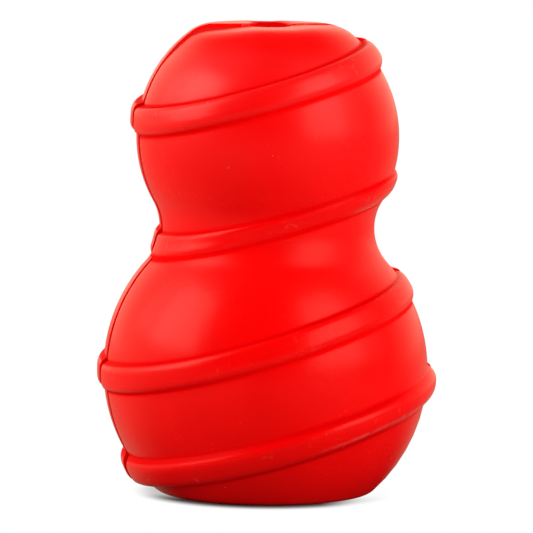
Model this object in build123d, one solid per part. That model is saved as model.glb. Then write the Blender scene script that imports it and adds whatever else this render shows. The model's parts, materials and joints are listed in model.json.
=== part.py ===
from build123d import *
import math
import os

# Hollow rubber chew toy: two lobed half shells bonded along an upright seam, wrapped by tilted ribs.
# Millimetres. Z is the toy's axis, the base rests on z = 0, and the seam lies in the plane y = 0.

# Outer form: two round lobes, a hollow waist between them, and flat cuts that make the base and the top
overall_height = 110.0
lower_lobe_radius = 38.0
base_cut_depth = 9.15
upper_lobe_radius = 30.7
top_cut_depth = 4.3
waist_blend_radius = 12.3
foot_edge_radius = 1.2
top_edge_radius = 9.0

# Hollow inside
wall_thickness = 9.0
floor_thickness = 9.0
ceiling_thickness = 9.0
cavity_corner_radius = 4.0

# Treat mouth in the base and vent hole in the top
mouth_radius = 13.0
mouth_edge_radius = 1.5
vent_radius = 4.5
vent_edge_radius = 0.8

# Bonded seam
seam_gap = 0.3
cement_recess = 0.4
rear_half_rise = 0.6

# Ribs: tilted rings, highest near the seam on the +X side and turned past it towards the rear
rib_turn_degrees = 2.8
rib_shoulder_radius = 1.0
# Each rib is set off from the centre of a lobe or of the waist
upper_rib_above_lobe_centre = 12.6
upper_rib_half_width = 3.2
upper_rib_projection = 2.0
upper_rib_tilt_degrees = 16.1
waist_rib_above_waist = 3.0
waist_rib_half_width = 2.7
waist_rib_projection = 1.2
waist_rib_tilt_degrees = 15.1
lower_rib_above_lobe_centre = 10.45
lower_rib_half_width = 3.3
lower_rib_projection = 1.5
lower_rib_tilt_degrees = 16.7
foot_rib_below_lobe_centre = 13.85
foot_rib_half_width = 3.75
foot_rib_projection = 2.1
foot_rib_tilt_degrees = 16.7

# How far cutting shapes run past what they cut
cut_overrun = 5.0

# Places that follow from the sizes above
lower_lobe_centre = lower_lobe_radius - base_cut_depth
upper_lobe_centre = overall_height + top_cut_depth - upper_lobe_radius
front_top = overall_height - rear_half_rise
cavity_floor = floor_thickness
cavity_ceiling = front_top - ceiling_thickness


def waist_centre():
    """Centre of the waist arc, in the radius and height plane: it touches both lobes from outside."""
    lower_reach = lower_lobe_radius + waist_blend_radius
    upper_reach = upper_lobe_radius + waist_blend_radius
    span = upper_lobe_centre - lower_lobe_centre
    rise = (span**2 + lower_reach**2 - upper_reach**2) / (2 * span)
    return Vector(math.sqrt(lower_reach**2 - rise**2), lower_lobe_centre + rise)


def arc_about(centre, start, end):
    """Shorter arc from start to end about a centre, drawn in the XZ plane."""
    radius = (start - centre).length
    middle = centre + ((start - centre) + (end - centre)).normalized() * radius
    return ThreePointArc(*[(point.X, 0, point.Y) for point in (start, middle, end)])


def line_between(start, end):
    return Line((start.X, 0, start.Y), (end.X, 0, end.Y))


def lobed_section(offset, bottom, top, bottom_edge, top_edge):
    """Half section of the two lobes and the waist, grown by offset and cut flat at bottom and top."""
    lower_centre = Vector(0, lower_lobe_centre)
    upper_centre = Vector(0, upper_lobe_centre)
    waist = waist_centre()
    lower_radius = lower_lobe_radius + offset
    upper_radius = upper_lobe_radius + offset
    lower_to_waist = lower_centre + (waist - lower_centre).normalized() * lower_radius
    upper_to_waist = upper_centre + (waist - upper_centre).normalized() * upper_radius

    # Rounded edges touch the flat end and the lobe from inside
    bottom_drop = lower_lobe_centre - bottom - bottom_edge
    bottom_reach = math.sqrt((lower_radius - bottom_edge) ** 2 - bottom_drop**2)
    bottom_centre = Vector(bottom_reach, bottom + bottom_edge)
    bottom_to_lobe = lower_centre + (bottom_centre - lower_centre).normalized() * lower_radius
    top_rise = top - top_edge - upper_lobe_centre
    top_reach = math.sqrt((upper_radius - top_edge) ** 2 - top_rise**2)
    top_centre = Vector(top_reach, top - top_edge)
    top_to_lobe = upper_centre + (top_centre - upper_centre).normalized() * upper_radius

    axis_bottom = Vector(0, bottom)
    axis_top = Vector(0, top)
    flat_bottom = Vector(bottom_reach, bottom)
    flat_top = Vector(top_reach, top)
    outline = Wire(
        [
            line_between(axis_bottom, flat_bottom),
            arc_about(bottom_centre, flat_bottom, bottom_to_lobe),
            arc_about(lower_centre, bottom_to_lobe, lower_to_waist),
            arc_about(waist, lower_to_waist, upper_to_waist),
            arc_about(upper_centre, upper_to_waist, top_to_lobe),
            arc_about(top_centre, top_to_lobe, flat_top),
            line_between(flat_top, axis_top),
            line_between(axis_top, axis_bottom),
        ]
    )
    return Face(outline)


def flared_bore(radius, edge_radius, mouth_height, inner_height):
    """Round hole from mouth_height to past inner_height, with its mouth edge rounded over."""
    inward = math.copysign(1, inner_height - mouth_height)
    outside = mouth_height - inward * cut_overrun
    inside = inner_height + inward * cut_overrun
    flare = radius + edge_radius
    edge_centre = Vector(flare, mouth_height + inward * edge_radius)
    edge_start = Vector(flare, mouth_height)
    edge_end = Vector(radius, mouth_height + inward * edge_radius)
    outline = Wire(
        [
            line_between(Vector(0, outside), Vector(flare, outside)),
            line_between(Vector(flare, outside), edge_start),
            arc_about(edge_centre, edge_start, edge_end),
            line_between(edge_end, Vector(radius, inside)),
            line_between(Vector(radius, inside), Vector(0, inside)),
            line_between(Vector(0, inside), Vector(0, outside)),
        ]
    )
    return revolve(Face(outline), Axis.Z)


def rib_slice(height, half_width, projection, tilt_degrees, top):
    """Disc between two tilted planes, as wide as the grown toy, with its rim shoulders rounded."""
    grown = revolve(lobed_section(projection, 0, top, foot_edge_radius, top_edge_radius), Axis.Z)
    reach = 2 * (overall_height + lower_lobe_radius)
    turned = Rot(0, 0, rib_turn_degrees) * Rot(0, -tilt_degrees, 0)
    disc = grown & Pos(0, 0, height) * turned * Box(reach, reach, 2 * half_width)
    tilt_direction = Vector(0, 0, 1).rotate(Axis.Y, -tilt_degrees).rotate(Axis.Z, rib_turn_degrees)
    rim = disc.faces().filter_by(Axis((0, 0, 0), tilt_direction)).edges()
    return fillet(rim, rib_shoulder_radius)


def half_shell(side, rise, top):
    """One half of the toy: side is -1 for the front and 1 for the rear, rise lifts its ribs."""
    body = revolve(lobed_section(0, 0, top, foot_edge_radius, top_edge_radius), Axis.Z)
    upper_rib_height = upper_lobe_centre + upper_rib_above_lobe_centre
    waist_rib_height = waist_centre().Y + waist_rib_above_waist
    lower_rib_height = lower_lobe_centre + lower_rib_above_lobe_centre
    foot_rib_height = lower_lobe_centre - foot_rib_below_lobe_centre
    ribs = [
        (upper_rib_height, upper_rib_half_width, upper_rib_projection, upper_rib_tilt_degrees),
        (waist_rib_height, waist_rib_half_width, waist_rib_projection, waist_rib_tilt_degrees),
        (lower_rib_height, lower_rib_half_width, lower_rib_projection, lower_rib_tilt_degrees),
        (foot_rib_height, foot_rib_half_width, foot_rib_projection, foot_rib_tilt_degrees),
    ]
    for height, half_width, projection, tilt_degrees in ribs:
        body += rib_slice(height + rise, half_width, projection, tilt_degrees, top)
    cavity_offset = -wall_thickness
    cavity_edges = (cavity_corner_radius, cavity_corner_radius)
    body -= revolve(lobed_section(cavity_offset, cavity_floor, cavity_ceiling, *cavity_edges), Axis.Z)
    body -= flared_bore(mouth_radius, mouth_edge_radius, 0, cavity_floor)
    body -= flared_bore(vent_radius, vent_edge_radius, top, cavity_ceiling)
    reach = 2 * (lower_lobe_radius + foot_rib_projection + cut_overrun)
    keep = Box(reach, reach, overall_height, align=(Align.CENTER, Align.MIN, Align.MIN))
    if side < 0:
        keep = mirror(keep, Plane.XZ)
    return body & Pos(0, side * seam_gap / 2, 0) * keep


def seam_cement(side):
    """Cured cement between the halves on one side, set back from every open edge."""
    outer = lobed_section(
        -cement_recess, cement_recess, front_top - cement_recess, foot_edge_radius, top_edge_radius
    )
    inner_offset = cement_recess - wall_thickness
    inner_floor = cavity_floor - cement_recess
    inner_ceiling = cavity_ceiling + cement_recess
    inner = lobed_section(
        inner_offset, inner_floor, inner_ceiling, cavity_corner_radius, cavity_corner_radius
    )
    sheet = extrude(outer, seam_gap / 2, both=True, dir=(0, 1, 0))
    sheet -= extrude(inner, seam_gap / 2 + cut_overrun, both=True, dir=(0, 1, 0))
    mouth_opening = mouth_radius + mouth_edge_radius + cement_recess
    sheet -= Cylinder(mouth_opening, 2 * cavity_floor)
    vent_opening = vent_radius + vent_edge_radius + cement_recess
    sheet -= Pos(0, 0, front_top) * Cylinder(vent_opening, 2 * ceiling_thickness)
    if side < 0:
        sheet = mirror(sheet, Plane.YZ)
    return sheet


os.makedirs("parts", exist_ok=True)
pieces = {
    "front_half_shell": half_shell(-1, 0, front_top),
    "rear_half_shell": half_shell(1, rear_half_rise, overall_height),
    "seam_cement_left": seam_cement(-1),
    "seam_cement_right": seam_cement(1),
}
for name, piece in pieces.items():
    export_step(piece, f"parts/{name}.step")
    print(name, round(piece.volume), "mm3")
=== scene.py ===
import json
import math

import bmesh
import bpy
import numpy as np
from mathutils import Matrix, Vector, noise


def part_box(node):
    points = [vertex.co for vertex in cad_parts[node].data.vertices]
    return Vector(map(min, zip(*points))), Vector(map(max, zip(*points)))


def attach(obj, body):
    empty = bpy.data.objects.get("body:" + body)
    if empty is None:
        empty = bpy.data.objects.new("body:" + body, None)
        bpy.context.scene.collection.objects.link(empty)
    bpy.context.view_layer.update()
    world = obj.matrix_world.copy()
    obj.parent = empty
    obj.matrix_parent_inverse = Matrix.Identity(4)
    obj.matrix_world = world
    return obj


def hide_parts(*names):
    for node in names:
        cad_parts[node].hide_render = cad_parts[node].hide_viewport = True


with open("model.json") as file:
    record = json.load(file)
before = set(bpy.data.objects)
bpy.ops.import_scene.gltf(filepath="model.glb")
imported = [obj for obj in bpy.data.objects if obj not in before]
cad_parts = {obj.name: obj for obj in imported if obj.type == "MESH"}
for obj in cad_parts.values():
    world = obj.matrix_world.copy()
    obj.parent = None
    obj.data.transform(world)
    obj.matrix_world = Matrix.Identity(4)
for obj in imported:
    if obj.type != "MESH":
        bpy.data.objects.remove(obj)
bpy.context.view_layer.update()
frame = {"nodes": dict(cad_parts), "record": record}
mounts = {mount["name"]: mount for mount in frame["record"]["mounts"]}
print("frame loaded:", ", ".join(sorted(frame["nodes"])))

mm = 0.001  # the dictionaries below are in millimetres and degrees


def inMetres(sizes):
    return [size * mm for size in sizes]


# one output socket of a node; sums on it add Math nodes to the same tree
class Wire:
    def __init__(self, bench, socket):
        self.bench = bench
        self.socket = socket

    def also(self, name):  # another output of the same node
        return Wire(self.bench, self.socket.node.outputs[name])

    def calc(self, operation, *others):
        return self.bench.calc(operation, self, *others)

    def __add__(self, other):
        return self.calc("ADD", other)

    __radd__ = __add__

    def __sub__(self, other):
        return self.calc("SUBTRACT", other)

    def __rsub__(self, other):
        return self.bench.calc("SUBTRACT", other, self)

    def __mul__(self, other):
        return self.calc("MULTIPLY", other)

    __rmul__ = __mul__

    def __truediv__(self, other):
        return self.calc("DIVIDE", other)

    def __rtruediv__(self, other):
        return self.bench.calc("DIVIDE", other, self)

    def __pow__(self, other):
        return self.calc("POWER", other)

    def __abs__(self):
        return self.calc("ABSOLUTE")

    def eased(self, low, high):  # 0 below low, 1 above high, smooth between
        sockets = {"Value": self, "From Min": low, "From Max": high}
        return self.bench.add("ShaderNodeMapRange", {"interpolation_type": "SMOOTHSTEP"}, sockets)

    def peak(self, middle, reach):  # 1 at the middle, falling to 0 at the reach on both sides
        return (1 - abs(self - middle) / reach).calc("MAXIMUM", 0)


# one node tree; every node comes from add: type, settings, sockets
class Bench:
    def __init__(self, tree):
        self.tree = tree

    def add(self, kind, settings=None, sockets=None, out=0):
        node = self.tree.nodes.new(kind)
        for name, value in (settings or {}).items():
            setattr(node, name, value)
        for key, value in (sockets or {}).items():
            if isinstance(value, Wire):
                self.tree.links.new(value.socket, node.inputs[key])
            else:
                node.inputs[key].default_value = value
        return Wire(self, node.outputs[out]) if node.outputs else None

    def calc(self, operation, *values):
        return self.add("ShaderNodeMath", {"operation": operation}, dict(enumerate(values)))

    def mix(self, share, first, second):  # colours; the mixed colour is the third output
        settings = {"data_type": "RGBA"}
        return self.add("ShaderNodeMix", settings, {0: share, 6: first, 7: second}, out=2)

    def attribute(self, name):
        return self.add("ShaderNodeAttribute", {"attribute_name": name}, out="Fac")

    def noise(self, where, sizes):
        return self.add("ShaderNodeTexNoise", {}, {"Vector": where, **sizes})


def newMaterial(name):
    material = bpy.data.materials.new(name)
    material.use_nodes = True
    material.node_tree.nodes.clear()
    return material, Bench(material.node_tree)


def addObject(name, mesh):
    thing = bpy.data.objects.new(name, mesh)
    bpy.context.scene.collection.objects.link(thing)
    return thing


# red rubber: satin, a little mottled, dusty along the ribs, with painted shade in its hidden places
# pairs are where a mask starts and where it is full
rubberLook = {
    "bright": (0.86, 0.0004, 0.0005, 1),
    "deep": (0.80, 0.0002, 0.0004, 1),
    "crease": (0.88, 0.0003, 0.0006, 1),  # matt in the creases: the sheen taken out there is painted shade
    # painted shade: darker red in the creases above the ribs, inside and at the tear; along the seam dirt
    # and painted shade
    "soil": (0.60, 0.0003, 0.0012, 1),
    "dust": (0.88, 0.20, 0.17, 1),
    "sheen": (1.0, 0.88, 0.72, 1),
    "specular": 0.20,
    "mottle": {"Scale": 42, "Detail": 3},  # noise scales are per metre
    "patch": {"Scale": 71.4, "Detail": 2},
    "scuff": {"Scale": 420, "Detail": 5, "Roughness": 0.62},
    "grain": {"Scale": 2100, "Detail": 2},
    "wave": {"Scale": 150, "Detail": 2},
    "ripple": {"Scale": 330, "Detail": 3},
    "drawn": (1, 1, 0.3),  # ripples are drawn out up and down
    "grainHeight": 0.007,
    "waveHeight": 0.05,
    "rippleHeight": 0.04,
    "dustHeight": 0.01,
    "bumpStrength": 0.8,
    "mottleBlend": (0.35, 0.65),
    "roughness": 0.26,
    "mottleRoughness": 0.08,
    "scuffRoughness": 0.05,
    "dustRoughness": 0.5,
    "mattRoughness": 0.08,
    "grimeRoughness": 0.9,
    "speckScale": 210,
    "speckSize": (0.02, 0.05),
    "speckRarity": (0.84, 0.86),
    "speckDust": 0.45,
    "rubbedScuff": (0.56, 0.70),  # crowns of the ribs, rubbed in patches
    "rubbedPatch": (0.45, 0.62),
    "rubbedLift": (0.55, 0.95),
    "rubbedDust": 0.1,
    "lipScuff": (0.3, 0.6),
    "lipDust": 0.35,
    "seamFront": (-1.3, -0.3),  # dirt and painted shade along the seam, from the front to the rear, and ending below the top
    "seamRear": (0.2, 0.6),
    "seamTop": (99, 105),
    "seamPatch": (0.35, 0.6),
    "seamEven": 0.55,  # share of that dirt and shade that isn't patchy
    "seamMatt": 0.8,
    # painted shade: the creases, the inside and the tear are made matt and darker
    "creaseEdge": (0.0, 0.6),
    "creaseMatt": 0.9,
    "creaseSoil": 0.8,
    "insideMatt": 0.35,
    "insideSoil": 0.5,
    "tornSoil": 0.85,
    "waistHeight": 60.5,  # rougher round the waist, off its rib
    "waistReach": 11.0,
    "waistFade": (0.2, 1.2),
    "waistRib": (0.3, 0.8),
    "polishLow": (74, 88),  # the upper lobe is polished by handling, short of the flat top
    "polishHigh": (90, 100),
    "polishEnd": (102, 107),
    "polish": (0.2, 0.25),
    "polishRoughness": 0.45,
}


# where dust lies: in specks, on rubbed crowns and on a lip
def rubberDust(bench, where, scuff, patch, lift):
    look = rubberLook
    sockets = {"Vector": where, "Scale": look["speckScale"]}
    cells = bench.add("ShaderNodeTexVoronoi", {"feature": "F1"}, sockets, out="Distance")
    cellTint = bench.add("ShaderNodeSeparateColor", {}, {0: cells.also("Color")}, out=0)
    specks = (1 - cells.eased(*look["speckSize"])) * cellTint.eased(*look["speckRarity"])
    crowns = patch.eased(*look["rubbedPatch"]) * lift.eased(*look["rubbedLift"])
    rubbed = scuff.eased(*look["rubbedScuff"]) * crowns
    lip = bench.attribute("ribLip") * scuff.eased(*look["lipScuff"])
    dust = (specks * look["speckDust"]).calc("MAXIMUM", rubbed * look["rubbedDust"])
    return dust.calc("MAXIMUM", lip * look["lipDust"])


# how matt and how dark the hidden places are made: painted shade in the creases, inside and at the tear by
# the vent, and dirt with painted shade along the seam
def rubberShadeAndGrime(bench, y, z, patch):
    look = rubberLook
    overRib = bench.attribute("overRib")
    inside = bench.attribute("inside")
    torn = bench.attribute("torn")
    seam = y.eased(*inMetres(look["seamFront"])) * (1 - y.eased(*inMetres(look["seamRear"])))
    seam = seam * (1 - z.eased(*inMetres(look["seamTop"])))
    patchy = look["seamEven"] + (1 - look["seamEven"]) * patch.eased(*look["seamPatch"])
    crease = bench.attribute("underRib").calc("MAXIMUM", overRib).eased(*look["creaseEdge"])
    matt = (crease * look["creaseMatt"]).calc("MAXIMUM", seam * patchy * look["seamMatt"])
    matt = matt.calc("MAXIMUM", inside * look["insideMatt"]).calc("MAXIMUM", torn)
    soil = (overRib * look["creaseSoil"]).calc("MAXIMUM", seam)
    soil = soil.calc("MAXIMUM", inside * look["insideSoil"]).calc("MAXIMUM", torn * look["tornSoil"])
    return matt, soil


def makeRubber():
    look = rubberLook
    material, bench = newMaterial("redRubber")
    where = bench.add("ShaderNodeTexCoord", out="Object")
    mottle, scuff, patch, grain, wave = (
        bench.noise(where, look[name]) for name in ("mottle", "scuff", "patch", "grain", "wave")
    )
    drawn = bench.add("ShaderNodeVectorMath", {"operation": "MULTIPLY"}, {0: where, 1: look["drawn"]})
    ripple = bench.noise(drawn, look["ripple"])
    lift = bench.attribute("ribLift")
    y = bench.add("ShaderNodeSeparateXYZ", {}, {0: where}, out="Y")
    z = y.also("Z")
    dust = rubberDust(bench, where, scuff, patch, lift)
    shadeAndGrimeShare, soil = rubberShadeAndGrime(bench, y, z, patch)

    waist = abs(z - look["waistHeight"] * mm) / (look["waistReach"] * mm)
    matt = (1 - waist.eased(*look["waistFade"])) * (1 - lift.eased(*look["waistRib"]))
    polishLow, polishHigh = look["polish"]
    polish = polishLow * z.eased(*inMetres(look["polishLow"]))
    polish = polish + polishHigh * z.eased(*inMetres(look["polishHigh"]))
    polish = polish * (1 - z.eased(*inMetres(look["polishEnd"])))

    red = bench.mix(mottle.eased(*look["mottleBlend"]), look["deep"], look["bright"])
    red = bench.mix(dust, red, look["dust"])
    uneven = (mottle - 0.5) * look["mottleRoughness"] + (scuff - 0.5) * look["scuffRoughness"]
    roughness = look["roughness"] + uneven + dust * look["dustRoughness"] + matt * look["mattRoughness"]

    relief = grain * look["grainHeight"] + wave * look["waveHeight"]
    relief = (relief + ripple * look["rippleHeight"] + dust * look["dustHeight"]) * mm
    sockets = {"Strength": look["bumpStrength"], "Distance": 1.0, "Height": relief}
    bump = bench.add("ShaderNodeBump", {}, sockets)
    skin = bench.add(
        "ShaderNodeBsdfPrincipled",
        {},
        {
            "Base Color": red,
            "Roughness": roughness,
            "Specular IOR Level": look["specular"],
            "Specular Tint": look["sheen"],
            "Coat Weight": polish,
            "Coat Roughness": look["polishRoughness"],
            "Normal": bump,
        },
    )
    shadeAndGrime = bench.add(
        "ShaderNodeBsdfPrincipled",
        {},
        {
            "Base Color": bench.mix(soil, look["crease"], look["soil"]),
            "Roughness": look["grimeRoughness"],
            "Specular IOR Level": 0.0,
            "Normal": bump,
        },
    )
    # painted shade mixed in: matt, darker red in the creases, inside and at the tear, with dirt along the
    # seam
    skin = bench.add("ShaderNodeMixShader", {}, {0: shadeAndGrimeShare, 1: skin, 2: shadeAndGrime})
    bench.add("ShaderNodeOutputMaterial", {}, {"Surface": skin})
    return material


# cured cement: matt and lumpy
cementLook = {
    "dark": (0.60, 0.0006, 0.0010, 1),
    "light": (0.80, 0.0015, 0.0020, 1),
    "blend": (0.35, 0.7),
    "lumps": {"Scale": 900, "Detail": 4, "Roughness": 0.6},
    "lumpHeight": 0.08,
    "bumpStrength": 0.6,
    "roughness": 0.72,
    "lumpRoughness": 0.2,
}


def makeCement():
    look = cementLook
    material, bench = newMaterial("seamCement")
    where = bench.add("ShaderNodeTexCoord", out="Object")
    lumps = bench.noise(where, look["lumps"])
    red = bench.mix(lumps.eased(*look["blend"]), look["dark"], look["light"])
    relief = lumps * (look["lumpHeight"] * mm)
    sockets = {"Strength": look["bumpStrength"], "Distance": 1.0, "Height": relief}
    bump = bench.add("ShaderNodeBump", {}, sockets)
    roughness = look["roughness"] + (lumps - 0.5) * look["lumpRoughness"]
    skin = bench.add(
        "ShaderNodeBsdfPrincipled", {}, {"Base Color": red, "Roughness": roughness, "Normal": bump}
    )
    bench.add("ShaderNodeOutputMaterial", {}, {"Surface": skin})
    return material


rubber = makeRubber()
cement = makeCement()
print("materials ready")

# the form that both halves share: two round lobes, a drawn-in waist, flat ends and a hollow
toyForm = {
    "lowerRadius": 38.0,
    "baseCut": 9.15,  # what the flat base takes off the lower lobe
    "upperRadius": 30.7,
    "topCut": 4.3,
    "waistRadius": 12.3,
    "footEdge": 4.0,
    "topEdge": 9.0,
    "wall": 9.0,  # also the floor and the ceiling of the hollow
    "hollowCorner": 4.0,
    "mouthRadius": mounts["treat_mouth"]["dims"]["r_mm"],
    "mouthEdge": 1.5,
    "ventRadius": mounts["vent_hole"]["dims"]["r_mm"],
    "frontVentEdge": 0.8,
    "rearVentEdge": 0.15,
    "seamHalfGap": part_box("rear_half_shell")[0].y / mm,
    "frontSeamEdge": 0.8,  # rounding of the rim along the seam
    "rearSeamEdge": 0.15,
    "sideRounding": 1.0,  # the front half's rim is rounder by this share below the top
    "columns": 150,
    "outerStep": 0.05,  # how finely the sections are traced
    "hollowStep": 1.8,
    "sharpAngle": 50.0,  # what turns more sharply is shaded as an edge
}
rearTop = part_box("rear_half_shell")[1].z / mm
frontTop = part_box("front_half_shell")[1].z / mm
lowerCentre = toyForm["lowerRadius"] - toyForm["baseCut"]
upperCentre = rearTop + toyForm["topCut"] - toyForm["upperRadius"]

lowerReach = toyForm["lowerRadius"] + toyForm["waistRadius"]
upperReach = toyForm["upperRadius"] + toyForm["waistRadius"]
lobeSpan = upperCentre - lowerCentre
waistRise = (lobeSpan**2 + lowerReach**2 - upperReach**2) / (2 * lobeSpan)
waistCentre = (math.sqrt(lowerReach**2 - waistRise**2), lowerCentre + waistRise)

# four tilted ribs, from the base up, highest near the seam on +X
# the rear half carries them a little higher
ribForm = {
    "turn": 2.8,  # how far past the seam, towards the rear, they are highest
    "leanReach": toyForm["lowerRadius"],
    "endReach": 22.0,  # how far from the seam the low end reaches
    "rings": {
        "Foot rib": {
            "height": lowerCentre - 13.8,
            "halfWidth": 3.75,
            "projection": 2.1,
            "tilt": 16.7,
            "upperShoulder": 4.5,  # powers of the cross-section: higher is squarer
            "lowerShoulder": 2.7,
            "lowerLean": 0.3,  # lower flank gentler by this share on the high side, steeper on the low side
            "footBlend": 1.4,  # rounding where the flanks meet the body
            "upperLean": 0.0,  # upper flank steeper by this share on the high side
            "taper": 0.15,  # narrower by this share on the high side
            "lowEnd": 0.32,  # lower flank thicker by this share near the seam on the low side
            "lipDust": 1.0,  # dust on the lower lip, on the high side
            "rowsBelow": 6,
        },
        "Lower rib": {
            "height": lowerCentre + 10.45,
            "halfWidth": 3.3,
            "projection": 1.5,
            "tilt": 16.7,
            "upperShoulder": 4.8,
            "lowerShoulder": 3.8,
            "lowerLean": 0.3,
            "footBlend": 0.9,
            "upperLean": 0.2,
            "taper": 0.04,
            "lowEnd": 0.0,
            "lipDust": 0.0,
            "rowsBelow": 18,
        },
        "Waist rib": {
            "height": waistCentre[1] + 3.0,
            "halfWidth": 2.7,
            "projection": 1.15,
            "tilt": 15.1,
            "upperShoulder": 5.0,
            "lowerShoulder": 3.3,
            "lowerLean": 0.7,
            "footBlend": 1.1,
            "upperLean": 0.0,
            "taper": 0.0,
            "lowEnd": 0.0,
            "lipDust": 0.0,
            "rowsBelow": 26,
        },
        "Upper rib": {
            "height": upperCentre + 12.6,
            "halfWidth": 3.2,
            "projection": 1.95,
            "tilt": 16.1,
            "upperShoulder": 5.5,
            "lowerShoulder": 3.4,
            "lowerLean": 0.3,
            "footBlend": 0.9,
            "upperLean": -0.4,
            "taper": -0.08,
            "lowEnd": -0.15,
            "lipDust": 0.0,
            "rowsBelow": 28,
        },
    },
}
# rows across a rib, in half widths from its middle, closest at its flanks
halfLevels = [0.18, 0.36, 0.52, 0.64, 0.73, 0.80, 0.86, 0.91, 0.95, 0.98, 1.01, 1.05, 1.10, 1.20]
ribLevels = np.array([-level for level in reversed(halfLevels)] + [0] + halfLevels)

# steps of the mesh on each stretch of the section, besides the ribs and what lies between them
rowCounts = {
    "base": 4,
    "footEdge": 6,
    "shoulder": 8,
    "topEdge": 10,
    "top": 6,
    "seamRim": 6,  # columns round the rim along the seam
    "boreEdge": 5,
    "bore": 5,
    "ceiling": 4,
    "floor": 3,
    "leastArc": 4,  # fewest steps on a traced arc
}


def spaced(first, last, steps):
    return np.linspace(first, last, steps + 1)


# arcs of the section from the base to the top: centre, radius, first angle, last angle, side of the normal
def lobedArcs(grow, bottom, top, bottomEdge, topEdge):
    lower = toyForm["lowerRadius"] + grow
    upper = toyForm["upperRadius"] + grow
    drop = lowerCentre - bottom - bottomEdge
    footReach = math.sqrt((lower - bottomEdge) ** 2 - drop**2)
    rise = top - topEdge - upperCentre
    topReach = math.sqrt((upper - topEdge) ** 2 - rise**2)
    footAngle = math.atan2(-drop, footReach)
    topAngle = math.atan2(rise, topReach)
    toWaist = math.atan2(waistCentre[1] - lowerCentre, waistCentre[0])
    fromWaist = math.atan2(waistCentre[1] - upperCentre, waistCentre[0])
    return [
        ((footReach, bottom + bottomEdge), bottomEdge, -math.pi / 2, footAngle, 1),
        ((0, lowerCentre), lower, footAngle, toWaist, 1),
        (waistCentre, toyForm["waistRadius"] - grow, math.pi + toWaist, math.pi + fromWaist, -1),
        ((0, upperCentre), upper, fromWaist, topAngle, 1),
        ((topReach, top - topEdge), topEdge, topAngle, math.pi / 2, 1),
    ]


# points of the section with their normals, rows of (radius, height, normal out, normal up)
def traceArcs(arcs, step):
    rows = []
    for (centreOut, centreUp), radius, first, last, side in arcs:
        count = max(rowCounts["leastArc"], math.ceil(abs(last - first) * radius / step))
        for angle in spaced(first, last, count)[1 if rows else 0 :]:
            out, up = math.cos(angle), math.sin(angle)
            rows.append((centreOut + radius * out, centreUp + radius * up, side * out, side * up))
    return rows


def outerSection(top, ventEdge):
    arcs = lobedArcs(0, 0, top, toyForm["footEdge"], toyForm["topEdge"])
    traced = traceArcs(arcs, toyForm["outerStep"])
    mouthRim = toyForm["mouthRadius"] + toyForm["mouthEdge"]
    ventRim = toyForm["ventRadius"] + ventEdge
    section = np.array([(mouthRim, 0, 0, -1)] + traced + [(ventRim, top, 0, 1)])
    along = np.concatenate([[0], np.cumsum(np.hypot(*np.diff(section[:, :2], axis=0).T))])
    footLength = abs(arcs[0][3] - arcs[0][2]) * arcs[0][1]
    topLength = abs(arcs[-1][3] - arcs[-1][2]) * arcs[-1][1]
    footStart, topEnd = along[1], along[-2]
    marks = (footStart, footStart + footLength, topEnd - topLength, topEnd, along[-1])
    return section, along, marks


# where the rows of one column lie along the section: they follow the tilted ribs
def rowStations(section, along, marks, climbing, rise):
    footStart, footEnd, topStart, topEnd, last = marks
    lobes = (along >= footEnd) & (along <= topStart)
    rows = [spaced(0, footStart, rowCounts["base"])[:-1]]
    rows.append(spaced(footStart, footEnd, rowCounts["footEdge"])[:-1])
    reached = footEnd
    for ring in ribForm["rings"].values():
        tilt = math.radians(ring["tilt"])
        offset = (section[:, 1] - ring["height"] - rise) * math.cos(tilt) - climbing * math.sin(tilt)
        high = climbing[lobes] / ribForm["leanReach"]
        width = 1 - np.maximum(high, 0) * ring["taper"]
        stops = np.interp(ribLevels * ring["halfWidth"], offset[lobes] / width, along[lobes])
        rows += [spaced(reached, stops[0], ring["rowsBelow"])[:-1], stops[:-1]]
        reached = stops[-1]
    rows.append(spaced(reached, topStart, rowCounts["shoulder"])[:-1])
    rows.append(spaced(topStart, topEnd, rowCounts["topEdge"])[:-1])
    rows.append(spaced(topEnd, last, rowCounts["top"]))
    return np.concatenate(rows)


# the vent, the hollow and the mouth, from the top rim down to the base rim
def innerSection(top, ventEdge):
    wall, corner = toyForm["wall"], toyForm["hollowCorner"]
    vent = toyForm["ventRadius"]
    mouth, mouthEdge = toyForm["mouthRadius"], toyForm["mouthEdge"]
    ceiling = frontTop - wall
    turns = spaced(0, math.pi / 2, rowCounts["boreEdge"])
    rows = [(vent + ventEdge * (1 - math.sin(t)), top - ventEdge * (1 - math.cos(t))) for t in turns[1:]]
    rows += [(vent, height) for height in spaced(top - ventEdge, ceiling, rowCounts["bore"])[1:]]
    hollow = traceArcs(lobedArcs(-wall, wall, ceiling, corner, corner), toyForm["hollowStep"])
    rows += [(radius, ceiling) for radius in spaced(vent, hollow[-1][0], rowCounts["ceiling"])[1:-1]]
    rows += [row[:2] for row in reversed(hollow)]
    rows += [(radius, wall) for radius in spaced(hollow[0][0], mouth, rowCounts["floor"])[1:]]
    rows += [(mouth, height) for height in spaced(wall, mouthEdge, rowCounts["bore"])[1:]]
    rows += [(mouth + mouthEdge * (1 - math.cos(t)), mouthEdge * (1 - math.sin(t))) for t in turns[1:-1]]
    return np.array(rows)


# columns of a half: how far from the cut face, the share of the turn left between,
# and how far the rounded rim falls back
def seamColumns(edge):
    turns = spaced(0, math.pi / 2, rowCounts["seamRim"])
    near = edge * (1 - np.cos(turns))
    fall = edge * (1 - np.sin(turns))
    shares = np.linspace(0, 1, toyForm["columns"])[1:-1]
    columns = [(away, 0, back) for away, back in zip(near, fall)]
    columns += [(edge, share, 0) for share in shares]
    columns += [(away, 1, back) for away, back in zip(near[::-1], fall[::-1])]
    return columns


# angle of one column at the given radii, counted from the seam on +X
def columnTurn(radius, away, share):
    start = np.arcsin((toyForm["seamHalfGap"] + away) / radius)
    return start + share * (math.pi - 2 * start)


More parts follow.
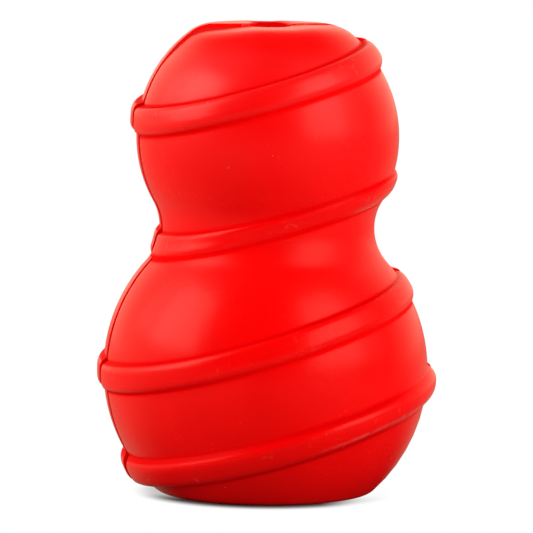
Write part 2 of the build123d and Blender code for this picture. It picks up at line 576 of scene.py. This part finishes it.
# the halves don't meet squarely at the top: the front one drops at its left shoulder
# and rises a little at its right
frontSkew = {
    "drop": 0.8,
    "dropFrom": 4.0,
    "dropTo": 15.0,
    "rise": 0.3,
    "riseFrom": 2.0,
    "riseTo": 9.0,
    "fadeFrom": 98.0,  # heights between which it comes in
    "fadeTo": 106.0,
}


def smooth(value, low, high):
    share = np.clip((value - low) / (high - low), 0, 1)
    return share * share * (3 - 2 * share)


def skewTop(place):
    drop = frontSkew["drop"] * smooth(-place[0], frontSkew["dropFrom"], frontSkew["dropTo"])
    rise = frontSkew["rise"] * smooth(place[0], frontSkew["riseFrom"], frontSkew["riseTo"])
    place[2] += (rise - drop) * smooth(place[2], frontSkew["fadeFrom"], frontSkew["fadeTo"])


# the rear half is torn behind the vent hole: it dips there, and there the material paints shade, dark and
# matt
ventTear = {
    "middle": 1.5,  # towards +X from the hole's middle
    "halfWidth": 4.9,
    "reach": 16.0,
    "soft": 0.3,  # share of its size over which it fades
    "roundness": 3.5,  # power of its outline: 2 is an ellipse
    "depth": 0.4,
    "wallDepth": 3.0,  # how far down the wall of the hole it runs out
}


def tearVent(place):
    aside = np.abs(place[0] - ventTear["middle"]) / ventTear["halfWidth"]
    behind = np.maximum(place[1] / ventTear["reach"], 0)
    power = ventTear["roundness"]
    outline = (aside**power + behind**power) ** (1 / power)
    upper = smooth(place[2], rearTop - ventTear["wallDepth"], rearTop - toyForm["rearVentEdge"])
    tear = upper * (1 - smooth(outline, 1 - ventTear["soft"], 1))
    place[2] -= ventTear["depth"] * tear
    return tear


def rimRounding(height, side):
    if side > 0:
        return np.ones(len(height))
    return 1 + toyForm["sideRounding"] * (1 - smooth(height, frontSkew["fadeFrom"], frontSkew["fadeTo"]))


# an open shell without ribs: outer rows, then inner rows, column by column round the half turn
def plainHalf(name, side, top, rise, edge, ventEdge):
    section, along, marks = outerSection(top, ventEdge)
    inner = innerSection(top, ventEdge)
    past = math.radians(ribForm["turn"])
    points, outward, torn = [], [], []
    for away, share, fall in seamColumns(edge):
        rounder = rimRounding(section[:, 1], side)
        climbing = section[:, 0] * np.cos(columnTurn(section[:, 0], away * rounder, share) - side * past)
        stations = rowStations(section, along, marks, climbing, rise)
        outer = np.array([np.interp(stations, along, section[:, i]) for i in range(4)]).T
        radius = np.concatenate([outer[:, 0], inner[:, 0]])
        height = np.concatenate([outer[:, 1], inner[:, 1]])
        normalOut = np.concatenate([outer[:, 2], np.zeros(len(inner))])
        normalUp = np.concatenate([outer[:, 3], np.zeros(len(inner))])
        rounder = rimRounding(height, side)
        angle = columnTurn(radius, away * rounder, share)
        around = np.array([np.cos(angle), side * np.sin(angle)])
        normal = np.array([normalOut * around[0], normalOut * around[1], normalUp])
        place = np.array([radius * around[0], radius * around[1], height]) - normal * fall * rounder
        place[1] = side * np.maximum(side * place[1], toyForm["seamHalfGap"])
        if side < 0:
            skewTop(place)
        torn.append(tearVent(place) if side > 0 else np.zeros(len(radius)))
        points.append(place.T)
        outward.append(normal.T)
    columns, rows = len(points), len(points[0])
    faces = []
    for column in range(columns - 1):
        for row in range(rows):
            above = (row + 1) % rows
            near, far = column * rows, (column + 1) * rows
            quad = (near + row, near + above, far + above, far + row)
            faces.append(quad if side < 0 else quad[::-1])
    mesh = bpy.data.meshes.new(name)
    mesh.from_pydata((np.concatenate(points) * mm).tolist(), [], faces)
    direction = mesh.attributes.new("outward", "FLOAT_VECTOR", "POINT")
    direction.data.foreach_set("vector", np.concatenate(outward).astype(np.float32).ravel())
    tear = mesh.attributes.new("torn", "FLOAT", "POINT")
    tear.data.foreach_set("value", np.concatenate(torn).astype(np.float32))
    return addObject(name, mesh)


# inputs of the rib tree for every rib: name, key in its dictionary and unit
ringSizes = {
    "height": ("height", mm),
    "half width": ("halfWidth", mm),
    "projection": ("projection", mm),
    "tilt": ("tilt", math.radians(1)),
    "upper shoulder": ("upperShoulder", 1),
    "lower shoulder": ("lowerShoulder", 1),
    "lower lean": ("lowerLean", 1),
    "foot blend": ("footBlend", mm),
    "upper lean": ("upperLean", 1),
    "taper": ("taper", 1),
    "low end": ("lowEnd", 1),
    "lip dust": ("lipDust", 1),
}

# where the creases, the dusty lip and the low end lie: across a rib in shares of its half width,
# and along it in shares of the lean reach
ribMarks = {
    "creaseAt": 0.98,
    "creaseReach": 0.27,
    "creaseFade": 0.7,  # the painted shade in the creases above the ribs fades by this share towards the high end
    "creaseFadeAlong": (0.4, 0.8),
    "lipAt": -0.38,
    "lipReach": 0.09,
    "lipAlong": (0.0, 0.4),
    "lowEndAlong": (0.2, 0.6),  # towards the low side
    "lowEndAcross": (-0.4, 0.8),
}


# lifts the ribs out of a plain half along its outward directions and marks them for the material
def makeRibTree():
    tree = bpy.data.node_groups.new("raisedRibs", "GeometryNodeTree")
    bench = Bench(tree)
    tree.interface.new_socket("Geometry", in_out="INPUT", socket_type="NodeSocketGeometry")
    sizes = ["Rise", "Turn", "Lean reach", "End reach"]
    for ring in ribForm["rings"]:
        sizes += [ring + " " + size for size in ringSizes]
    for size in sizes:
        tree.interface.new_socket(size, in_out="INPUT", socket_type="NodeSocketFloat")
    tree.interface.new_socket("Geometry", in_out="OUTPUT", socket_type="NodeSocketGeometry")
    given = bench.add("NodeGroupInput", out="Geometry")
    where = bench.add("GeometryNodeInputPosition")
    x = bench.add("ShaderNodeSeparateXYZ", {}, {0: where}, out="X")
    y, z = x.also("Y"), x.also("Z")
    climbing = x * given.also("Turn").calc("COSINE") + y * given.also("Turn").calc("SINE")
    high = climbing / given.also("Lean reach")
    nearSeam = 1 - (abs(y) / given.also("End reach")).eased(0, 1)
    lowEnd = (0 - high).eased(*ribMarks["lowEndAlong"]) * nearSeam
    shallow = 1 - ribMarks["creaseFade"] * high.eased(*ribMarks["creaseFadeAlong"])
    lipShare = high.eased(*ribMarks["lipAlong"])
    highSide = high.calc("MAXIMUM", 0)
    lift, share, under, over, lip = 0, 0, 0, 0, 0
    for ring in ribForm["rings"]:
        slope = given.also(ring + " tilt")
        climb = z - given.also(ring + " height") - given.also("Rise")
        offset = climb * slope.calc("COSINE") - climbing * slope.calc("SINE")
        offset = offset / given.also(ring + " half width")
        above = offset.calc("GREATER_THAN", 0)
        offset = offset / (1 - highSide * given.also(ring + " taper"))
        lower = given.also(ring + " lower shoulder") * (1 - high * given.also(ring + " lower lean"))
        upper = given.also(ring + " upper shoulder") * (1 + highSide * given.also(ring + " upper lean"))
        crown = 1 - abs(offset) ** (lower + (upper - lower) * above)
        thicker = lowEnd * given.also(ring + " low end") * (1 - offset.eased(*ribMarks["lowEndAcross"]))
        projection = given.also(ring + " projection") * (1 + thicker)
        raised = (crown * projection).calc("SMOOTH_MAX", 0, given.also(ring + " foot blend"))
        lift = raised + lift
        share = raised / projection + share
        under = offset.peak(-ribMarks["creaseAt"], ribMarks["creaseReach"]) + under
        over = offset.peak(ribMarks["creaseAt"], ribMarks["creaseReach"]) * shallow + over
        edge = offset.peak(ribMarks["lipAt"], ribMarks["lipReach"]) * lipShare
        lip = edge * given.also(ring + " lip dust") + lip
    outward = bench.add(
        "GeometryNodeInputNamedAttribute",
        {"data_type": "FLOAT_VECTOR"},
        {"Name": "outward"},
        out="Attribute",
    )
    outer = bench.add("ShaderNodeVectorMath", {"operation": "LENGTH"}, {0: outward}, out="Value")
    push = bench.add("ShaderNodeVectorMath", {"operation": "SCALE"}, {0: outward, "Scale": lift})
    shape = given
    marks = {
        "ribLift": share * outer,
        "underRib": under * outer,
        "overRib": over * outer,
        "ribLip": lip * outer,
        "inside": 1 - outer,
    }
    for name, value in marks.items():
        sockets = {"Geometry": shape, "Name": name, "Value": value}
        shape = bench.add("GeometryNodeStoreNamedAttribute", {"domain": "POINT"}, sockets)
    shape = bench.add("GeometryNodeSetPosition", {}, {"Geometry": shape, "Offset": push})
    shape = bench.add("GeometryNodeSetShadeSmooth", {}, {"Geometry": shape, "Shade Smooth": True})
    shape = bench.add("GeometryNodeRealizeInstances", {}, {"Geometry": shape})
    shape = bench.add("GeometryNodeSetMaterial", {}, {"Geometry": shape, "Material": rubber})
    bench.add("NodeGroupOutput", {}, {"Geometry": shape})
    return tree


def raiseRibs(half, tree, rise):
    sizes = {
        "Rise": rise * mm,
        "Turn": math.radians(ribForm["turn"]),
        "Lean reach": ribForm["leanReach"] * mm,
        "End reach": ribForm["endReach"] * mm,
    }
    for name, ring in ribForm["rings"].items():
        for size, (key, unit) in ringSizes.items():
            sizes[name + " " + size] = ring[key] * unit
    modifier = half.modifiers.new("raisedRibs", "NODES")
    modifier.node_group = tree
    for item in tree.interface.items_tree:
        if item.in_out == "INPUT" and item.name in sizes:
            modifier[item.identifier] = sizes[item.name]
    whole = half.evaluated_get(bpy.context.evaluated_depsgraph_get())
    mesh = bpy.data.meshes.new_from_object(whole)
    half.modifiers.remove(modifier)
    half.data = mesh


# closes the two cut faces of the wall along the seam
def closeSeam(half):
    shell = bmesh.new()
    shell.from_mesh(half.data)
    rims = [edge for edge in shell.edges if edge.is_boundary]
    cuts = bmesh.ops.holes_fill(shell, edges=rims, sides=0)["faces"]
    for cut in cuts:
        cut.smooth = False
    bmesh.ops.triangulate(shell, faces=cuts)
    bmesh.ops.recalc_face_normals(shell, faces=shell.faces)
    shell.to_mesh(half.data)
    shell.free()
    half.data.set_sharp_from_angle(angle=math.radians(toyForm["sharpAngle"]))


ribTree = makeRibTree()
halves = (
    ("front_half_shell", -1, frontTop, toyForm["frontSeamEdge"], toyForm["frontVentEdge"]),
    ("rear_half_shell", 1, rearTop, toyForm["rearSeamEdge"], toyForm["rearVentEdge"]),
)
for name, side, top, edge, ventEdge in halves:
    rise = top - frontTop
    half = plainHalf(name.replace("shell", "rubber"), side, top, rise, edge, ventEdge)
    raiseRibs(half, ribTree, rise)
    closeSeam(half)
    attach(half, "root")
    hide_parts(name)
    print(half.name, len(half.data.polygons), "faces")

# torn bits of flash on the step between the halves beside the vent: place across, half length
ventFlash = {
    "lumps": ((-6.0, 0.9), (-5.2, 0.6), (6.6, 0.7), (7.5, 0.9), (8.7, 0.8)),
    "halfDepth": 0.8,
    "halfHeight": 0.5,
    "roughness": 0.25,  # share of its size by which a lump is uneven
    "unevenScale": 1.7,
    "subdivisions": 3,
}


def makeVentFlash():
    lumps = bmesh.new()
    step = Vector((0, -toyForm["seamHalfGap"] - toyForm["frontSeamEdge"] / 2, frontTop))
    fineness = ventFlash["subdivisions"]
    for across, half in ventFlash["lumps"]:
        size = Vector((half, ventFlash["halfDepth"], ventFlash["halfHeight"]))
        lump = bmesh.ops.create_icosphere(lumps, subdivisions=fineness, radius=1)["verts"]
        for vert in lump:
            uneven = noise.noise(vert.co * ventFlash["unevenScale"] + Vector((across, 0, 0)))
            vert.co *= 1 - ventFlash["roughness"] * (0.5 - 0.5 * uneven)
            vert.co = (vert.co * size + step + Vector((across, 0, 0))) * mm
    for face in lumps.faces:
        face.smooth = True
    mesh = bpy.data.meshes.new("vent_flash")
    lumps.to_mesh(mesh)
    lumps.free()
    mesh.materials.append(rubber)
    return addObject("vent_flash", mesh)


flash = makeVentFlash()
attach(flash, "root")
print("flash at the vent:", len(flash.data.polygons), "faces")

for name in ("seam_cement_left", "seam_cement_right"):
    node = frame["nodes"][name]
    node.data.materials.clear()
    node.data.materials.append(cement)
print("cement finished")

# studio: softboxes on both sides, matt fill light, a white backdrop behind the toy
# and a dark room before it
studio = {
    "cameraTurn": -11.7,
    "cameraReach": 1300.0,
    "cameraHeight": 183.2,
    "aimHeight": 53.05,
    "roll": 0.57,
    "lens": 376.9,
    "clipNear": 50.0,
    "clipFar": 20000.0,
    "lampLevel": 55.0,  # half of the toy's height, from which the lamps' angles are counted
    "backdropTurn": -160.0,
    "backdropLight": 0.70,
    "backdropEdge": (-0.4, 0.5),  # cosines of the angle from its middle
    "backdropTop": (0.4, 0.9),  # sines of the angle up
    "fill": 0.04,  # light of the room on the camera's side
    "mirroredRoom": 0.02,
    "mirroredWhite": (1.0, 0.86, 0.63, 1),
}
# upright lamps: middle and half of the turn, reach, lowest and highest angle covered, radiance,
# and whether the rubber mirrors them
lamps = {
    "leftSoftbox": (-72, 20, 900, 12, 51, 3.4, True),
    "leftWing": (-103, 11, 900, 12, 51, 1.0, True),
    "rightSoftbox": (53, 20, 900, 5, 52, 2.5, True),
    "rightWing": (83, 10, 900, 5, 45, 0.6, True),
    "frontFill": (5, 32, 1500, 3, 28, 3.2, False),
    "backFill": (180, 40, 1300, 35, 62, 2.0, False),
    "leftFill": (-105, 28, 1300, 0, 30, 2.0, False),
    "rightFill": (92, 30, 1300, 0, 30, 2.4, False),
}


def aroundToy(turn, reach, height):  # turn is counted from the camera, to its right
    angle = math.radians(studio["cameraTurn"] + turn)
    return Vector((reach * math.sin(angle), -reach * math.cos(angle), height)) * mm


def softbox(name, turn, halfTurn, reach, low, high, radiance, mirrored):
    bottom = reach * math.tan(math.radians(low))
    top = reach * math.tan(math.radians(high))
    lamp = bpy.data.lights.new(name, "AREA")
    lamp.shape = "RECTANGLE"
    lamp.size = 2 * reach * math.tan(math.radians(halfTurn)) * mm
    lamp.size_y = (top - bottom) * mm
    lamp.energy = radiance * math.pi * lamp.size * lamp.size_y
    box = addObject(name, lamp)
    box.location = aroundToy(turn, reach, studio["lampLevel"] + (top + bottom) / 2)
    box.rotation_euler = (math.pi / 2, 0, math.radians(studio["cameraTurn"] + turn))
    box.visible_camera = False
    if not mirrored:
        box.visible_glossy = False
        lamp.cycles.use_multiple_importance_sampling = False


for name, sizes in lamps.items():
    softbox(name, *sizes)


def grey(level):
    return (level, level, level, 1)


# what the eye sees, what mirrors and glass see, and what lights the rest
def rayColour(bench, seen, mirrored, plain):
    rays = bench.add("ShaderNodeLightPath", out="Is Camera Ray")
    shiny = rays.also("Is Glossy Ray").calc("MAXIMUM", rays.also("Is Transmission Ray"))
    return bench.mix(rays, bench.mix(shiny, plain, mirrored), seen)


# share of the white backdrop, which stands behind and beside the toy, in a direction or at a place
def backdropShare(bench, where):
    aside = bench.add("ShaderNodeVectorMath", {"operation": "NORMALIZE"}, {0: where})
    sockets = {0: aside, 1: aroundToy(studio["backdropTurn"], 1 / mm, 0)}
    toward = bench.add("ShaderNodeVectorMath", {"operation": "DOT_PRODUCT"}, sockets, out="Value")
    return toward.eased(*studio["backdropEdge"])


def makeWorld():
    world = bpy.data.worlds.new("whiteStudio")
    world.use_nodes = True
    world.node_tree.nodes.clear()
    world.cycles.sampling_method = "NONE"
    bench = Bench(world.node_tree)
    where = bench.add("ShaderNodeTexCoord", out="Generated")
    share = backdropShare(bench, where)
    height = bench.add("ShaderNodeSeparateXYZ", {}, {0: where}, out="Z")
    shown = share * (1 - height.eased(*studio["backdropTop"]))
    mirrored = bench.mix(shown, grey(studio["mirroredRoom"]), studio["mirroredWhite"])
    plain = bench.mix(share, grey(studio["fill"]), grey(studio["backdropLight"]))
    air = bench.add("ShaderNodeBackground", {}, {"Color": rayColour(bench, grey(1), mirrored, plain)})
    bench.add("ShaderNodeOutputWorld", {}, {"Surface": air})
    return world


bpy.context.scene.world = makeWorld()

# white floor, on which the camera sees grey paint close to the base only: a painted shadow, with the toy's
# own shadow on it
floorLook = {
    "radius": 6000.0,
    "segments": 64,
    "drop": 0.05,  # just below the base
    "paint": 0.31,  # what throws light up at the toy
    "sidePaint": 0.60,
    "sideReach": (20, 100),
    # painted shadow: the grey the camera sees close to the base, full before the toy, lighter behind, more
    # at the left, cut at the right
    "shadePaint": 0.2,
    "mirroredPaint": 0.02,
    "mirroredFloor": (0.45, 0.35, 0.25, 1),
    "shadeReach": (25.2, 31.8),
    "beforeReach": (4, 16),  # the painted shadow is full before the toy
    "behindShade": 0.12,
    "leftShade": 0.33,  # comes on top at the left
    "leftReach": (0, 20),
    "rightCut": 0.7,  # goes off at the right
    "rightReach": (12, 24),
}


def makeFloor():
    look = floorLook
    material, bench = newMaterial("paleFloor")
    where = bench.add("ShaderNodeTexCoord", out="Object")
    reach = bench.add("ShaderNodeVectorMath", {"operation": "LENGTH"}, {0: where}, out="Value")
    toLens, toLeft = (
        bench.add("ShaderNodeVectorMath", {"operation": "DOT_PRODUCT"}, {0: where, 1: axis}, out="Value")
        for axis in (aroundToy(0, 1 / mm, 0), aroundToy(-90, 1 / mm, 0))
    )
    beside = abs(toLeft).eased(*inMetres(look["sideReach"]))
    pale = bench.mix(beside, grey(look["paint"]), grey(look["sidePaint"]))
    paint = bench.add(
        "ShaderNodeBsdfPrincipled",
        {},
        {
            "Base Color": rayColour(bench, grey(look["shadePaint"]), grey(look["mirroredPaint"]), pale),
            "Roughness": 1.0,
            "Specular IOR Level": 0.0,
        },
    )
    # painted shadow round the base: how deep it is in each direction
    before = toLens.eased(*inMetres(look["beforeReach"]))
    behind = look["behindShade"] + look["leftShade"] * toLeft.eased(*inMetres(look["leftReach"]))
    depth = before + (1 - before) * behind
    depth = depth * (1 - look["rightCut"] * (0 - toLeft).eased(*inMetres(look["rightReach"])))
    paintedShadow = depth * (1 - reach.eased(*inMetres(look["shadeReach"])))
    seen = bench.mix(1 - paintedShadow, grey(0), grey(1))
    mirrored = bench.mix(backdropShare(bench, where), grey(0), look["mirroredFloor"])
    glowColour = rayColour(bench, seen, mirrored, grey(0))
    glow = bench.add("ShaderNodeEmission", {}, {"Color": glowColour, "Strength": 1.0})
    lit = rayColour(bench, seen, grey(0), grey(0))
    both = bench.add("ShaderNodeAddShader", {}, {0: paint, 1: glow})
    top = bench.add("ShaderNodeMixShader", {}, {0: lit, 1: both, 2: glow})
    below = bench.add("ShaderNodeNewGeometry", out="Backfacing")
    clear = bench.add("ShaderNodeBsdfTransparent")
    skin = bench.add("ShaderNodeMixShader", {}, {0: below, 1: top, 2: clear})
    bench.add("ShaderNodeOutputMaterial", {}, {"Surface": skin})
    disc = bmesh.new()
    bmesh.ops.create_circle(disc, cap_ends=True, segments=look["segments"], radius=look["radius"] * mm)
    mesh = bpy.data.meshes.new("floor")
    disc.to_mesh(mesh)
    disc.free()
    mesh.materials.append(material)
    return addObject("floor", mesh)


floor = makeFloor()
floor.location.z = -floorLook["drop"] * mm

camera = addObject("photoCamera", bpy.data.cameras.new("photoCamera"))
camera.data.lens = studio["lens"]
camera.data.clip_start = studio["clipNear"] * mm
camera.data.clip_end = studio["clipFar"] * mm
eyePoint = aroundToy(0, studio["cameraReach"], studio["cameraHeight"])
ahead = (Vector((0, 0, studio["aimHeight"] * mm)) - eyePoint).normalized()
right = ahead.cross(Vector((0, 0, 1))).normalized()
upward = right.cross(ahead)
roll = math.radians(studio["roll"])
cameraRight = right * math.cos(roll) + upward * math.sin(roll)
cameraUp = upward * math.cos(roll) - right * math.sin(roll)
turned = Matrix((cameraRight, cameraUp, -ahead)).transposed()
camera.matrix_world = Matrix.Translation(eyePoint) @ turned.to_4x4()
bpy.context.scene.camera = camera
bpy.context.scene.view_settings.view_transform = "Standard"
print("studio and camera ready")
